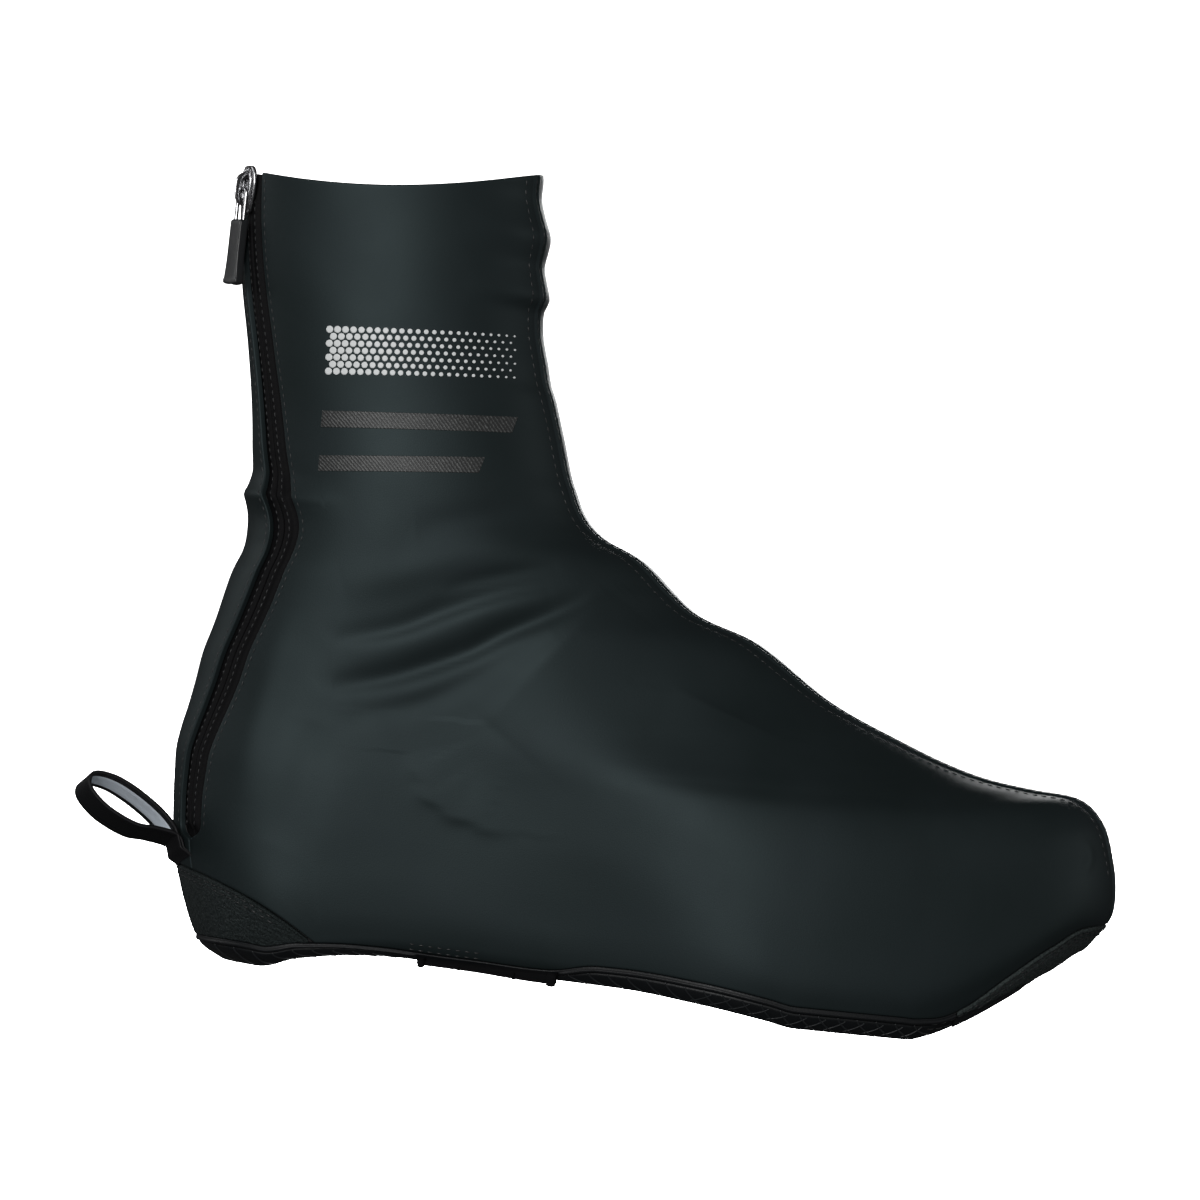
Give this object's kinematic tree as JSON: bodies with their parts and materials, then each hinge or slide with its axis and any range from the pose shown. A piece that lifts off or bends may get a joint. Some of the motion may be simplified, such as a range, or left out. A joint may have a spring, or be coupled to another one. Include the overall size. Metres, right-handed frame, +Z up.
{
  "type": "cycling overshoe",
  "caption": "Ankle-high stretch overshoe for a right cycling shoe, zipped at the back, open at the collar and under the cleat, with a heel loop and a strap under the arch.",
  "frame": {"origin": "middle of the whole shoe's box, on the floor that it stands on", "axes": "+X from heel to toe, +Y to the inner side of the right foot, +Z up"},
  "size_m": [0.3288, 0.1042, 0.2555],
  "materials": {
    "upper_fabric": "matte coated stretch fabric, black with a faint blue-green sheen",
    "sole_print": "black printed grip, scaled relief",
    "patch_fabric": "black grained abrasion fabric",
    "strap_fabric": "black hook-and-loop band",
    "zip_tape": "black woven tape with a black coil",
    "loop_webbing": "black webbing with a grey reflective band",
    "slider_metal": "polished dark nickel",
    "pull_rubber": "black moulded pull, satin"
  },
  "bodies": {
    "shoe": {"upper": "upper_fabric", "sole": "sole_print", "toe_patch": "patch_fabric", "heel_patch": "patch_fabric", "arch_strap": "strap_fabric", "zip_half_inner": "zip_tape", "zip_half_outer": "zip_tape", "heel_loop": "loop_webbing", "zip_slider": "slider_metal"},
    "pull": {"pull_link": "slider_metal", "pull_tab": "pull_rubber"}
  },
  "joints": [
    {"name": "pull_hinge", "type": "hinge", "parent": "shoe", "child": "pull", "pos_m": [-0.13275, -0.01707, 0.24041], "axis": [-0.5073, 0.8618, 0], "range_deg": [0, 150]}
  ]
}
